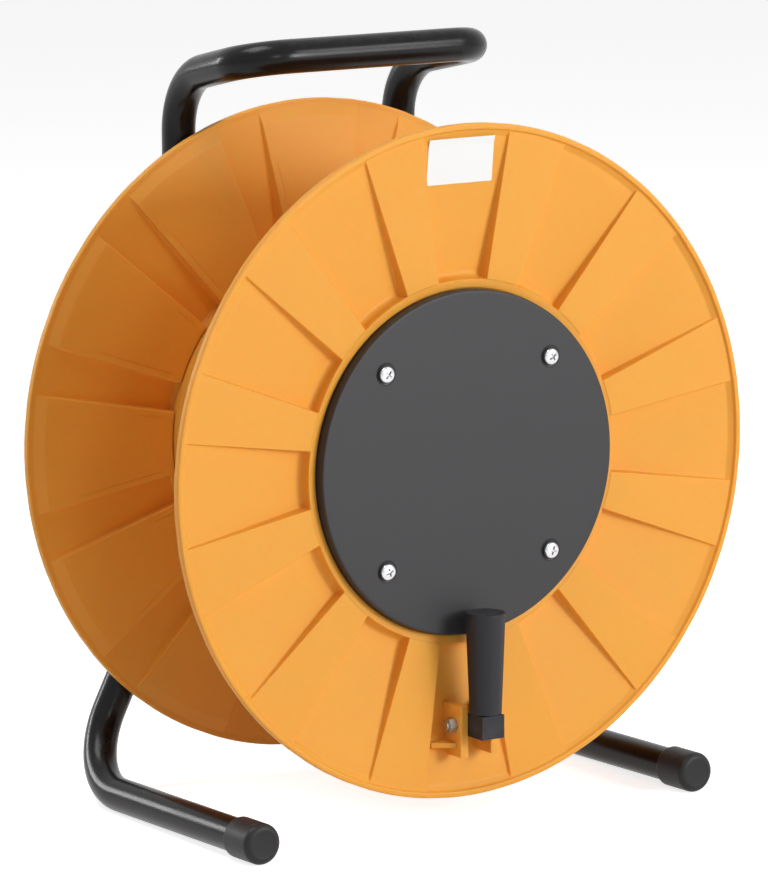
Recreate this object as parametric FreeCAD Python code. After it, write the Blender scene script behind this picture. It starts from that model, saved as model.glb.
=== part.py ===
import FreeCAD, Part
import math
import os

# Plastic cable reel: a corrugated two-flange drum that turns on an axle carried by a bent
# tube stand, with a fold-away crank in one pocket of the front flange.
# Row frame: +Z up, +X to the right of the front flange, +Y from the front flange to the back.
# The origin is on the floor, under the centre of the whole reel. Millimetres.
# Flange shapes are first made about a drum axis along Y at the origin, with the outermost
# front plane at y = 0 and depth growing towards +Y, and are then set in place.

V = FreeCAD.Vector

# --- drum -------------------------------------------------------------------------------
FLANGE_R = 190.0            # outside of the flange rim
DRUM_W = 166.8              # over both rims
RIM_W = 3.5                 # rim, radially
RIM_T = 4.5                 # rim, along the axis
SHEET_T = 2.6               # moulded wall of the flange
SPOKES = 12                 # spokes, with as many pockets between them
POCKET_DEG = 18.0           # pocket width, measured at the hub
POCKET_WALL_DEG = 1.5       # side wall of a pocket
SPOKE_DEPTH_OUT = 1.75      # spoke face below the rim plane, at the rim
SPOKE_DEPTH_IN = 5.4        # spoke face below the rim plane, at the hub
POCKET_LIP_W = 8.0          # sloped outer end of a pocket, radially
POCKET_DEPTH_OUT = 4.0      # pocket floor at the foot of the slope
POCKET_DEPTH_IN = 12.5      # pocket floor at the hub
HUB_RING_W = 5.6            # ring between the cover and the inner ends of the spokes
HUB_FOOT_W = 3.2            # rounded foot of a pocket's inner wall
HUB_STEP = 0.8              # step from the spokes down to the hub ring

# --- hub --------------------------------------------------------------------------------
COVER_R = 97.2              # cover plate, outside
COVER_H = 7.8               # cover plate, over all: its front is level with the rim
COVER_T = 3.0               # cover plate wall
COVER_EDGE_R = 1.0          # rounding of the cover's front edge
WEB_T = 3.0                 # hub web behind the cover
BARREL_WALL = 2.8
BARREL_GAP = 0.4            # between the barrel and the pockets' inner walls
SPIGOT_T = 2.8              # ring on each web that centres the barrel
SPIGOT_L = 10.0
SPIGOT_GAP = 0.2
SCREW_INSET = 19.0          # cover screws, inside the cover's edge
SCREW_HEAD_R = 4.8
SCREW_HEAD_H = 3.0
SCREW_SHANK_R = 2.0
SCREW_L = 17.0
SCREW_GAP = 0.1
SCREW_SLOT_L = 5.6
SCREW_SLOT_W = 1.2
SCREW_SLOT_DEPTH = 1.6
BOSS_WALL = 3.6             # plastic around a screw
BOSS_L = 12.0

# --- axle and bearing plate ----------------------------------------------------------------
AXLE_R = 15.0
AXLE_WALL = 3.0
AXLE_RUNNING_GAP = 0.08
AXLE_COLLAR_R = 21.0
AXLE_END_PLAY = 0.5
SLEEVE_WALL = 5.0           # bearing sleeve moulded on each web
SLEEVE_L = 26.0
CLIP_T = 2.0
CLIP_GROOVE = 0.8           # groove depth in the axle
CLIP_R = 19.5
CLIP_MOUTH = 8.0
PLATE_T = 3.0
PLATE_H = 84.0
PLATE_EDGE_R = 8.0
WELD_GAP = 0.03

# --- stand ------------------------------------------------------------------------------
TUBE_R = 9.75
TUBE_WALL = 1.5
FLOOR_GAP = 16.0            # rims above the floor
FOOT_X = 147.5              # foot tubes, off the middle
REAR_GAP = 5.95             # rear flange to the uprights
UPRIGHT_X = 75.5            # upright tubes, off the middle
KNEE_BELOW_AXIS = 56.0      # where the leaning legs turn upright
SHOULDER_BELOW_BAR = 17.8   # where the uprights turn forward
HANDLE_X = 80.0             # ends of the carrying bar, off the middle
HANDLE_FORWARD = 86.5       # carrying bar ahead of the uprights
BAR_ABOVE_RIM = 23.05       # clear hand room under the carrying bar
HEEL_BEND_R = 45.0
KNEE_BEND_R = 60.0
SHOULDER_BEND_R = 38.5
HANDLE_BEND_R = 24.0
FOOT_REACH = 15.8           # foot caps ahead of the front rim
CAP_WALL = 1.85
CAP_L = 24.5
CAP_END_T = 2.4
CAP_FIT_GAP = 0.05
CAP_EDGE_R = 3.6

# --- crank ------------------------------------------------------------------------------
PIVOT_INSET = 43.0          # crank bolt inside the flange's edge
PIVOT_PROUD = 2.5           # crank bolt ahead of the rim plane
BOLT_R = 2.5
BOLT_HOLE_GAP = 0.1
PIVOT_RUNNING_GAP = 0.06
BOLT_HEAD_R = 4.2
BOLT_HEAD_H = 3.4
NUT_ACROSS_FLATS = 8.0
NUT_H = 4.6
BOLT_END = 1.2              # bolt past its nut
EAR_T = 5.2
EAR_PROUD = 9.4             # ears ahead of the rim plane
EAR_ABOVE = 11.5            # ears, from the bolt towards the hub
EAR_BELOW = 18.0            # ears, from the bolt towards the rim
EAR_ROOT = 1.0              # ears sunk in the pocket floor
BLOCK_W = 14.8              # crank block, along the bolt
EAR_SIDE_GAP = 0.3
BLOCK_D = 15.3
BLOCK_H = 13.2
BLOCK_FRONT = 20.5          # block's front face ahead of the bolt
BLOCK_BELOW_PIVOT = 6.1
TONGUE_R = 5.0
TONGUE_H = 10.6
GRIP_L = 58.0
GRIP_R_FOOT = 9.0
GRIP_R_END = 11.3
GRIP_EDGE_R = 0.8
GRIP_SEAT_GAP = 0.35
SPINDLE_R = 4.0
SPINDLE_L = 40.0
SPINDLE_GAP = 0.08
RIB_T = 3.0                 # gusset between the left ear and its pocket wall
RIB_BELOW = 10.0            # gusset, from the bolt towards the rim
RIB_PROUD = 5.5

# --- label ------------------------------------------------------------------------------
LABEL_X = -23.8             # left edge
LABEL_W = 43.6
LABEL_INSET = 33.5          # label's lower edge, inside the flange's edge
LABEL_H = 25.6
LABEL_T = 0.25
LABEL_GAP = 0.02

# --- derived ----------------------------------------------------------------------------
PITCH_DEG = 360.0 / SPOKES
FIELD_R = FLANGE_R - RIM_W
LIP_FOOT_R = FIELD_R - POCKET_LIP_W
HUB_R = COVER_R + HUB_RING_W
HUB_FOOT_R = HUB_R + HUB_FOOT_W
SCREW_PITCH = math.sqrt(2) * (COVER_R - SCREW_INSET)
WEB_BACK = COVER_H + WEB_T
BARREL_R = HUB_R - SHEET_T - BARREL_GAP
BARREL_BORE_R = BARREL_R - BARREL_WALL
SPIGOT_R = BARREL_BORE_R - SPIGOT_GAP
SLEEVE_BORE_R = AXLE_R + AXLE_RUNNING_GAP
SLEEVE_R = SLEEVE_BORE_R + SLEEVE_WALL
PIVOT_RADIUS = FLANGE_R - PIVOT_INSET
EAR_R_IN = PIVOT_RADIUS - EAR_ABOVE
EAR_R_OUT = PIVOT_RADIUS + EAR_BELOW
RIB_R = PIVOT_RADIUS + RIB_BELOW
LABEL_R_IN = FLANGE_R - LABEL_INSET
EAR_INNER_X = BLOCK_W / 2 + EAR_SIDE_GAP
EAR_OUTER_X = EAR_INNER_X + EAR_T
PIVOT_Y = -PIVOT_PROUD
BLOCK_Y0 = PIVOT_Y - BLOCK_FRONT
GRIP_Y = BLOCK_Y0 + BLOCK_D / 2
BLOCK_TOP_Z = -PIVOT_RADIUS - BLOCK_BELOW_PIVOT + BLOCK_H
AXIS_HEIGHT = FLANGE_R + FLOOR_GAP
HANDLE_ABOVE_AXIS = FLANGE_R + BAR_ABOVE_RIM + TUBE_R
SHOULDER_ABOVE_AXIS = HANDLE_ABOVE_AXIS - SHOULDER_BELOW_BAR
CAP_R = TUBE_R + CAP_WALL
REAR_Y = DRUM_W + REAR_GAP + TUBE_R
CAP_BACK_Y = CAP_L - FOOT_REACH
FRONT_MOST = GRIP_Y - GRIP_R_END
REAR_MOST = REAR_Y + TUBE_R
DRUM_SHIFT = V(0, -(FRONT_MOST + REAR_MOST) / 2, AXIS_HEIGHT)


def save(name, shape):
    """Put a finished shape in the row frame and write it as one node."""
    placed = shape.copy()
    placed.translate(DRUM_SHIFT)
    placed.exportStep("parts/%s.step" % name)


def turned(points, start_deg=0.0, sweep_deg=360.0):
    """Turn a closed (radius, depth) outline about the drum axis."""
    corners = [V(r, d, 0) for r, d in points]
    face = Part.Face(Part.makePolygon(corners + corners[:1]))
    face.rotate(V(0, 0, 0), V(0, 1, 0), -start_deg)
    return face.revolve(V(0, 0, 0), V(0, 1, 0), -sweep_deg)


def rod(radius, start, direction, length):
    return Part.makeCylinder(radius, length, start, direction)


def box(x0, x1, y0, y1, z0, z1):
    return Part.makeBox(x1 - x0, y1 - y0, z1 - z0, V(x0, y0, z0))


def spoke_depth(radius):
    """Depth of the spoke faces: a shallow cone from the hub to the rim."""
    share = (radius - HUB_R) / (FIELD_R - HUB_R)
    return SPOKE_DEPTH_IN + share * (SPOKE_DEPTH_OUT - SPOKE_DEPTH_IN)


def pocket_depth(radius):
    """Depth of a pocket's floor, a cone from the hub to the sloped lip, and of the lip."""
    if radius > LIP_FOOT_R:
        share = (radius - LIP_FOOT_R) / POCKET_LIP_W
        return POCKET_DEPTH_OUT + share * (SPOKE_DEPTH_OUT - POCKET_DEPTH_OUT)
    share = (radius - HUB_FOOT_R) / (LIP_FOOT_R - HUB_FOOT_R)
    return POCKET_DEPTH_IN + share * (POCKET_DEPTH_OUT - POCKET_DEPTH_IN)


def flange_disc():
    """Rim, spoke-level sheet, hub ring, web, barrel spigot and bearing sleeve."""
    outline = [
        (FLANGE_R, 0), (FIELD_R, 0), (FIELD_R, SPOKE_DEPTH_OUT), (HUB_R, SPOKE_DEPTH_IN),
        (HUB_R, SPOKE_DEPTH_IN + HUB_STEP), (COVER_R, COVER_H), (SLEEVE_BORE_R, COVER_H),
        (SLEEVE_BORE_R, COVER_H + SLEEVE_L), (SLEEVE_R, COVER_H + SLEEVE_L),
        (SLEEVE_R, WEB_BACK), (SPIGOT_R - SPIGOT_T, WEB_BACK),
        (SPIGOT_R - SPIGOT_T, WEB_BACK + SPIGOT_L), (SPIGOT_R, WEB_BACK + SPIGOT_L),
        (SPIGOT_R, WEB_BACK), (HUB_R - SHEET_T, WEB_BACK),
        (HUB_R - SHEET_T, SPOKE_DEPTH_IN + SHEET_T), (FIELD_R, SPOKE_DEPTH_OUT + SHEET_T),
        (FIELD_R, RIM_T), (FLANGE_R, RIM_T),
    ]
    return turned(outline)


def pocket_pads():
    """The pans that stand out on the winding side, one behind each pocket."""
    outline = [
        (FIELD_R, SPOKE_DEPTH_OUT), (FIELD_R, RIM_T),
        (LIP_FOOT_R + SHEET_T / 2, POCKET_DEPTH_OUT + SHEET_T),
        (HUB_R - SHEET_T, POCKET_DEPTH_IN + SHEET_T), (HUB_R - SHEET_T, SPOKE_DEPTH_IN + HUB_STEP),
        (HUB_R, SPOKE_DEPTH_IN),
    ]
    width = POCKET_DEG + 2 * POCKET_WALL_DEG
    return [turned(outline, k * PITCH_DEG - width / 2, width) for k in range(SPOKES)]


def pocket_hollows():
    """The recesses in the outer face."""
    outline = [
        (FIELD_R, -RIM_T), (FIELD_R, SPOKE_DEPTH_OUT), (LIP_FOOT_R, POCKET_DEPTH_OUT),
        (HUB_FOOT_R, POCKET_DEPTH_IN), (HUB_R, POCKET_DEPTH_IN - HUB_FOOT_W), (HUB_R, -RIM_T),
    ]
    return [turned(outline, k * PITCH_DEG - POCKET_DEG / 2, POCKET_DEG) for k in range(SPOKES)]


def screw_places():
    half = SCREW_PITCH / 2
    return [(x, z) for x in (-half, half) for z in (-half, half)]


def flange():
    """A whole flange with its outer face towards -Y, without the crank bracket."""
    shape = flange_disc().fuse(pocket_pads()).cut(pocket_hollows())
    bosses = []
    pilots = []
    for x, z in screw_places():
        bosses.append(rod(SCREW_SHANK_R + BOSS_WALL, V(x, COVER_H + WEB_T / 2, z), V(0, 1, 0), BOSS_L))
        pilots.append(rod(SCREW_SHANK_R + SCREW_GAP, V(x, 0, z), V(0, 1, 0), 2 * BOSS_L))
    return shape.fuse(bosses).cut(pilots).removeSplitter()


def ear(side):
    """One ear of the crank bracket, grown from the pocket floor; side is -1 left, 1 right."""
    x0 = EAR_INNER_X if side > 0 else -EAR_OUTER_X
    outline = [
        V(x0, -EAR_PROUD, -EAR_R_IN), V(x0, pocket_depth(EAR_R_IN) + EAR_ROOT, -EAR_R_IN),
        V(x0, pocket_depth(EAR_R_OUT) + EAR_ROOT, -EAR_R_OUT), V(x0, -EAR_PROUD, -EAR_R_OUT),
    ]
    face = Part.Face(Part.makePolygon(outline + outline[:1]))
    return face.extrude(V(EAR_T, 0, 0))


def gusset():
    """The rib from the left ear to the pocket wall, rising towards the ear."""
    wall_x = -RIB_R * math.sin(math.radians(POCKET_DEG / 2))
    floor = pocket_depth(RIB_R) + EAR_ROOT
    outline = [
        V(-EAR_OUTER_X, -RIB_PROUD, -RIB_R), V(-EAR_OUTER_X, floor, -RIB_R),
        V(wall_x - 1, floor, -RIB_R), V(wall_x, spoke_depth(RIB_R), -RIB_R),
    ]
    face = Part.Face(Part.makePolygon(outline + outline[:1]))
    return face.extrude(V(0, 0, -RIB_T))


def flange_front():
    shape = flange().fuse([ear(-1), ear(1), gusset()])
    hole = rod(BOLT_R + BOLT_HOLE_GAP, V(-2 * EAR_OUTER_X, PIVOT_Y, -PIVOT_RADIUS), V(1, 0, 0),
               4 * EAR_OUTER_X)
    return shape.cut(hole).removeSplitter()


def flange_rear():
    """The same moulding without the bracket, turned to face backwards."""
    shape = flange()
    shape.rotate(V(0, 0, 0), V(0, 0, 1), 180)
    shape.translate(V(0, DRUM_W, 0))
    return shape


def barrel():
    length = DRUM_W - 2 * WEB_BACK
    start = V(0, WEB_BACK, 0)
    return rod(BARREL_R, start, V(0, 1, 0), length).cut(rod(BARREL_BORE_R, start, V(0, 1, 0), length))


def cover_plate():
    """Shallow cap over the hub, with a post under each screw."""
    shell = rod(COVER_R, V(0, 0, 0), V(0, 1, 0), COVER_H)
    front_edge = [e for e in shell.Edges if abs(e.BoundBox.YMax) < 1e-6]
    shell = shell.makeFillet(COVER_EDGE_R, front_edge)
    shell = shell.cut(rod(COVER_R - COVER_T, V(0, COVER_T, 0), V(0, 1, 0), COVER_H))
    posts = []
    holes = []
    for x, z in screw_places():
        posts.append(rod(SCREW_SHANK_R + BOSS_WALL, V(x, COVER_T / 2, z), V(0, 1, 0),
                         COVER_H - COVER_T / 2))
        holes.append(rod(SCREW_SHANK_R + 3 * SCREW_GAP, V(x, -1, z), V(0, 1, 0), 2 * COVER_H))
    return shell.fuse(posts).cut(holes).removeSplitter()


def cover_screw(x, z):
    """Pan-head screw with a cross recess, head on the cover's front face."""
    head = rod(SCREW_HEAD_R, V(x, -SCREW_HEAD_H, z), V(0, 1, 0), SCREW_HEAD_H)
    outer_edge = [e for e in head.Edges if abs(e.BoundBox.YMax + SCREW_HEAD_H) < 1e-6]
    head = head.makeFillet(0.6 * SCREW_HEAD_H, outer_edge)
    shank = rod(SCREW_SHANK_R, V(x, -1, z), V(0, 1, 0), SCREW_L + 1)
    half_l = SCREW_SLOT_L / 2
    half_w = SCREW_SLOT_W / 2
    depth = SCREW_SLOT_DEPTH - SCREW_HEAD_H
    across = box(x - half_l, x + half_l, -SCREW_HEAD_H - 1, depth, z - half_w, z + half_w)
    upright = box(x - half_w, x + half_w, -SCREW_HEAD_H - 1, depth, z - half_l, z + half_l)
    return head.fuse(shank).cut([across, upright]).removeSplitter()


def label():
    """Blank label stuck on the floor and lip of the top pocket."""
    r_out = LABEL_R_IN + LABEL_H
    outline = []
    for lift in (LABEL_GAP, LABEL_GAP + LABEL_T):
        run = [(r, pocket_depth(r) - lift) for r in (LABEL_R_IN - 2, LIP_FOOT_R, r_out + 4)]
        outline += run if lift == LABEL_GAP else run[::-1]
    strip = turned(outline, 90 - POCKET_DEG / 2, POCKET_DEG)
    window = box(LABEL_X, LABEL_X + LABEL_W, -RIM_T, 4 * RIM_T, LABEL_R_IN, r_out)
    return strip.common(window)


def axle():
    """Hollow stepped axle: collar against the bearing plate, clip groove at the front."""
    back = DRUM_W + REAR_GAP - PLATE_T - WELD_GAP
    collar_front = DRUM_W - COVER_H + AXLE_END_PLAY
    front = COVER_T + AXLE_END_PLAY
    shape = rod(AXLE_R, V(0, front, 0), V(0, 1, 0), back - front)
    shape = shape.fuse(rod(AXLE_COLLAR_R, V(0, collar_front, 0), V(0, 1, 0), back - collar_front))
    groove_y = COVER_H - AXLE_END_PLAY - CLIP_T
    groove = turned([(AXLE_R - CLIP_GROOVE, groove_y), (2 * AXLE_R, groove_y),
                     (2 * AXLE_R, groove_y + CLIP_T), (AXLE_R - CLIP_GROOVE, groove_y + CLIP_T)])
    bore = rod(AXLE_R - AXLE_WALL, V(0, front, 0), V(0, 1, 0), back - front)
    return shape.cut([groove, bore])


def axle_clip():
    """Open retaining ring in the axle's groove, ahead of the front web."""
    play = 0.05
    y = COVER_H - AXLE_END_PLAY - CLIP_T + play
    thickness = CLIP_T - 2 * play
    ring = rod(CLIP_R, V(0, y, 0), V(0, 1, 0), thickness)
    mouth = box(-CLIP_MOUTH / 2, CLIP_MOUTH / 2, 0, COVER_H, 0, 2 * CLIP_R)
    return ring.cut([rod(AXLE_R - CLIP_GROOVE + play, V(0, 0, 0), V(0, 1, 0), COVER_H), mouth])


def bearing_plate():
    """Steel plate welded across the front of both uprights."""
    half_w = UPRIGHT_X + TUBE_R
    back = DRUM_W + REAR_GAP - WELD_GAP
    plate = box(-half_w, half_w, back - PLATE_T, back, -PLATE_H / 2, PLATE_H / 2)
    corners = [e for e in plate.Edges if e.BoundBox.YLength > 0.9 * PLATE_T]
    return plate.makeFillet(PLATE_EDGE_R, corners)


def foot_slope():
    """Fall of a foot's axis towards the heel, so that cap and heel both rest on the floor."""
    return (CAP_R - TUBE_R) / (REAR_Y - HEEL_BEND_R - CAP_BACK_Y)


def foot_axis_z(y):
    return CAP_R - AXIS_HEIGHT - foot_slope() * (y - CAP_BACK_Y)


def stand_corners():
    """Corner points of the stand's centre line, from the left foot round to the right one."""
    tube_end = CAP_END_T - FOOT_REACH
    half = [
        (FOOT_X, tube_end, foot_axis_z(tube_end)), (FOOT_X, REAR_Y, foot_axis_z(REAR_Y)),
        (UPRIGHT_X, REAR_Y, -KNEE_BELOW_AXIS), (UPRIGHT_X, REAR_Y, SHOULDER_ABOVE_AXIS),
        (HANDLE_X, REAR_Y - HANDLE_FORWARD, HANDLE_ABOVE_AXIS),
    ]
    left = [V(-x, y, z) for x, y, z in half]
    right = [V(x, y, z) for x, y, z in reversed(half)]
    radii = [HEEL_BEND_R, KNEE_BEND_R, SHOULDER_BEND_R, HANDLE_BEND_R]
    return left + right, radii + radii[::-1]


def ring_face(centre, normal):
    """Tube section: a ring square to the centre line."""
    outer = Part.Wire(Part.makeCircle(TUBE_R, centre, normal))
    inner = Part.Wire(Part.makeCircle(TUBE_R - TUBE_WALL, centre, normal))
    return Part.Face(outer).cut(Part.Face(inner))


def stand_tube():
    """One tube bent at each corner: straight runs joined by round bends."""
    corners, radii = stand_corners()
    pieces = []
    here = corners[0]
    for before, corner, after, radius in zip(corners, corners[1:], corners[2:], radii):
        run_in = (corner - before).normalize()
        run_out = (after - corner).normalize()
        turn = run_in.getAngle(run_out)
        setback = radius * math.tan(turn / 2)
        start = corner - run_in * setback
        axis = run_in.cross(run_out).normalize()
        centre = start + axis.cross(run_in) * radius
        pieces.append(ring_face(here, run_in).extrude(start - here))
        pieces.append(ring_face(start, run_in).revolve(centre, axis, math.degrees(turn)))
        here = corner + run_out * setback
    last = corners[-1] - here
    pieces.append(ring_face(here, last).extrude(last))
    return pieces[0].fuse(pieces[1:]).removeSplitter()


def foot_cap(side):
    """Push-on cap with a rounded nose, square to the foot's axis."""
    cap = rod(CAP_R, V(0, 0, 0), V(0, 1, 0), CAP_L)
    nose = [e for e in cap.Edges if abs(e.BoundBox.YMax) < 1e-6]
    cap = cap.makeFillet(CAP_EDGE_R, nose)
    cap = cap.cut(rod(TUBE_R + CAP_FIT_GAP, V(0, CAP_END_T, 0), V(0, 1, 0), CAP_L))
    cap.rotate(V(0, 0, 0), V(1, 0, 0), -math.degrees(math.atan(foot_slope())))
    cap.translate(V(side * FOOT_X, -FOOT_REACH, foot_axis_z(-FOOT_REACH)))
    return cap


def crank_block():
    """Square block with a tongue on the bolt and a spindle for the grip."""
    block = box(-BLOCK_W / 2, BLOCK_W / 2, BLOCK_Y0, BLOCK_Y0 + BLOCK_D, BLOCK_TOP_Z - BLOCK_H,
                BLOCK_TOP_Z)
    start = V(-BLOCK_W / 2, PIVOT_Y, -PIVOT_RADIUS)
    knuckle = rod(TONGUE_R, start, V(1, 0, 0), BLOCK_W)
    tongue = box(-BLOCK_W / 2, BLOCK_W / 2, BLOCK_Y0 + BLOCK_D / 2, PIVOT_Y,
                 -PIVOT_RADIUS - TONGUE_R, -PIVOT_RADIUS - TONGUE_R + TONGUE_H)
    spindle = rod(SPINDLE_R, V(0, GRIP_Y, BLOCK_TOP_Z - 1), V(0, 0, 1), SPINDLE_L + 1)
    bore = rod(BOLT_R + PIVOT_RUNNING_GAP, start, V(1, 0, 0), BLOCK_W)
    return block.fuse([knuckle, tongue, spindle]).cut(bore).removeSplitter()


def crank_grip():
    """Tapered grip that turns on the spindle."""
    foot = V(0, GRIP_Y, BLOCK_TOP_Z + GRIP_SEAT_GAP)
    length = GRIP_L - GRIP_SEAT_GAP
    cone = Part.makeCone(GRIP_R_FOOT, GRIP_R_END, length, foot, V(0, 0, 1))
    top = [e for e in cone.Edges if abs(e.BoundBox.ZMin - foot.z - length) < 1e-4]
    cone = cone.makeFillet(GRIP_EDGE_R, top)
    bore = rod(SPINDLE_R + SPINDLE_GAP, foot, V(0, 0, 1), SPINDLE_L)
    return cone.cut(bore)


def crank_bolt():
    """Bolt through both ears, its round head on the right."""
    end = EAR_OUTER_X + NUT_H + BOLT_END
    shank = rod(BOLT_R, V(-end, PIVOT_Y, -PIVOT_RADIUS), V(1, 0, 0), end + EAR_OUTER_X)
    head = rod(BOLT_HEAD_R, V(EAR_OUTER_X, PIVOT_Y, -PIVOT_RADIUS), V(1, 0, 0), BOLT_HEAD_H)
    return shank.fuse(head).removeSplitter()


def crank_nut():
    radius = NUT_ACROSS_FLATS / math.sqrt(3)
    x0 = -EAR_OUTER_X - NUT_H
    corners = []
    for k in range(7):
        angle = math.radians(60 * k)
        corners.append(V(x0, PIVOT_Y + radius * math.cos(angle), radius * math.sin(angle) - PIVOT_RADIUS))
    nut = Part.Face(Part.makePolygon(corners)).extrude(V(NUT_H, 0, 0))
    return nut.cut(rod(BOLT_R + BOLT_HOLE_GAP, V(x0, PIVOT_Y, -PIVOT_RADIUS), V(1, 0, 0), NUT_H))


def main():
    os.makedirs("parts", exist_ok=True)
    save("stand_tube", stand_tube())
    save("foot_cap_left", foot_cap(-1))
    save("foot_cap_right", foot_cap(1))
    save("bearing_plate", bearing_plate())
    save("axle", axle())
    save("axle_clip", axle_clip())
    save("flange_front", flange_front())
    save("flange_rear", flange_rear())
    save("barrel", barrel())
    save("cover_plate", cover_plate())
    for number, (x, z) in enumerate(screw_places(), 1):
        save("cover_screw_%d" % number, cover_screw(x, z))
    save("label", label())
    save("crank_bolt", crank_bolt())
    save("crank_nut", crank_nut())
    save("crank_block", crank_block())
    save("crank_grip", crank_grip())


main()
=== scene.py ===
"""Looks of the plastic cable reel: fine meshes, finishes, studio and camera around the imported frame.

Lengths are metres and the axes are the frame's own: +Z up, +X to the right of the front
flange, +Y from the front flange to the back.
"""

import logging
import math
from dataclasses import dataclass
from enum import Enum
from typing import Callable, Optional, Sequence

import bmesh
import bpy
from mathutils import Matrix, Vector


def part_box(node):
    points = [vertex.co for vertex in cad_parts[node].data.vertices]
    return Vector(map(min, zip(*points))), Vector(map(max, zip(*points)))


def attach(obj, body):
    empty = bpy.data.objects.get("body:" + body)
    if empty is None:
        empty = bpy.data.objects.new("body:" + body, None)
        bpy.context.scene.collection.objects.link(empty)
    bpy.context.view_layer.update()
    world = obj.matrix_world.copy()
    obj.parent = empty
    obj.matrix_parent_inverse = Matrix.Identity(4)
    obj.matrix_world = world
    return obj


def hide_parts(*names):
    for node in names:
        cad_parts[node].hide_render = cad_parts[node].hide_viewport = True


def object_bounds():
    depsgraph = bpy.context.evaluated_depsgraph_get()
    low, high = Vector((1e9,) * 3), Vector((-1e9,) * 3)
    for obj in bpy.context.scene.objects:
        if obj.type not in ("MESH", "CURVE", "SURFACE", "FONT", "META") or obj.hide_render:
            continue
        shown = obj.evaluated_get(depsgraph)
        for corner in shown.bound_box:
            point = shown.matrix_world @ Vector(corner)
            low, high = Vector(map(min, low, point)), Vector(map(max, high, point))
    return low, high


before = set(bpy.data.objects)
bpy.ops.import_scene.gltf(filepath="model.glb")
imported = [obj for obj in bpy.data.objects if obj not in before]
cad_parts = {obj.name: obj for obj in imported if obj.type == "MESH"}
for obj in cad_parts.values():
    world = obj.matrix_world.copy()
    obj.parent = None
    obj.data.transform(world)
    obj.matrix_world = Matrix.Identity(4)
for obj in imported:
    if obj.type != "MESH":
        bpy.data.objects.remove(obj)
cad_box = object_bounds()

LOG = logging.getLogger("cable_reel")
MM = 0.001
Point2 = tuple[float, float]
Colour = tuple[float, float, float]


class Facing(Enum):
    """Which way a flange's outer face looks along Y."""

    FRONT = -1
    REAR = 1


class Side(Enum):
    """Left or right of the reel, seen from the front."""

    LEFT = -1
    RIGHT = 1


# --- meshes ------------------------------------------------------------------------------


def mesh_piece(name: str, verts: Sequence[Vector], faces: Sequence[Sequence[int]],
               outward: bool = True) -> bpy.types.Object:
    """Make a smooth-shaded mesh object in the scene.

    Args:
        name: the piece's name.
        verts: points in metres.
        faces: corner indices of each face.
        outward: turn all the faces outwards.

    Returns:
        The new object, at the origin.
    """
    mesh = bpy.data.meshes.new(name)
    mesh.from_pydata([tuple(v) for v in verts], [], [list(f) for f in faces])
    if outward:
        work = bmesh.new()
        work.from_mesh(mesh)
        bmesh.ops.recalc_face_normals(work, faces=work.faces)
        work.to_mesh(mesh)
        work.free()
    mesh.polygons.foreach_set("use_smooth", [True] * len(mesh.polygons))
    piece = bpy.data.objects.new(name, mesh)
    bpy.context.scene.collection.objects.link(piece)
    return piece


def even_normals(piece: bpy.types.Object) -> None:
    """Let large flat faces rule the shading beside small roundings."""
    weighted = piece.modifiers.new("even_normals", "WEIGHTED_NORMAL")
    weighted.weight = 60
    weighted.keep_sharp = False


def break_edges(piece: bpy.types.Object, width: float, segments: int = 3,
                above_deg: float = 28.0) -> None:
    """Round a piece's sharp edges with a bevel, and even out its shading."""
    for face in piece.data.polygons:
        face.use_smooth = True
    bevel = piece.modifiers.new("broken_edges", "BEVEL")
    bevel.width = width
    bevel.segments = segments
    bevel.limit_method = "ANGLE"
    bevel.angle_limit = math.radians(above_deg)
    bevel.use_clamp_overlap = True
    even_normals(piece)


def bands(rings: int, around: int, closed: bool = False, capped: bool = False) -> list[list[int]]:
    """Faces between rings of points.

    Args:
        rings: how many rings there are.
        around: points in each ring.
        closed: join the last ring to the first.
        capped: fill the first and the last ring.

    Returns:
        Corner indices of each face.
    """
    faces = []
    for i in range(rings if closed else rings - 1):
        low, high = i * around, (i + 1) % rings * around
        faces += [[low + j, low + (j + 1) % around, high + (j + 1) % around, high + j]
                  for j in range(around)]
    if capped:
        faces.append(list(range(around))[::-1])
        faces.append([(rings - 1) * around + j for j in range(around)])
    return faces


def arc(centre: Point2, radius: float, start_deg: float, end_deg: float, steps: int) -> list[Point2]:
    """Points along an arc of an outline, both ends included."""
    angles = [math.radians(start_deg + (end_deg - start_deg) * i / steps) for i in range(steps + 1)]
    return [(centre[0] + radius * math.cos(a), centre[1] + radius * math.sin(a)) for a in angles]


def turned(name: str, outline: Sequence[Point2], base: Vector, axis: Vector, around: int = 96,
           closed: bool = False) -> bpy.types.Object:
    """Turn a (radius, height) outline about an axis.

    Args:
        name: the piece's name.
        outline: radius and height along the axis, in metres.
        base: where height is nought.
        axis: direction of height.
        around: points in each ring.
        closed: the outline is a loop, as for a sleeve.

    Returns:
        The new object.
    """
    along = axis.normalized()
    turn = along.to_track_quat("Z", "Y")
    verts = []
    for radius, height in outline:
        for j in range(around):
            a = 2 * math.pi * j / around
            verts.append(base + turn @ Vector((radius * math.cos(a), radius * math.sin(a), height)))
    piece = mesh_piece(name, verts, bands(len(outline), around, closed, not closed))
    even_normals(piece)
    return piece


def prism(name: str, outline: Sequence[Vector], sweep: Vector) -> bpy.types.Object:
    """A flat outline pushed along a vector."""
    count = len(outline)
    verts = list(outline) + [p + sweep for p in outline]
    faces = [list(range(count)), [count + i for i in range(count)][::-1]]
    faces += [[i, (i + 1) % count, count + (i + 1) % count, count + i] for i in range(count)]
    return mesh_piece(name, verts, faces)


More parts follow.
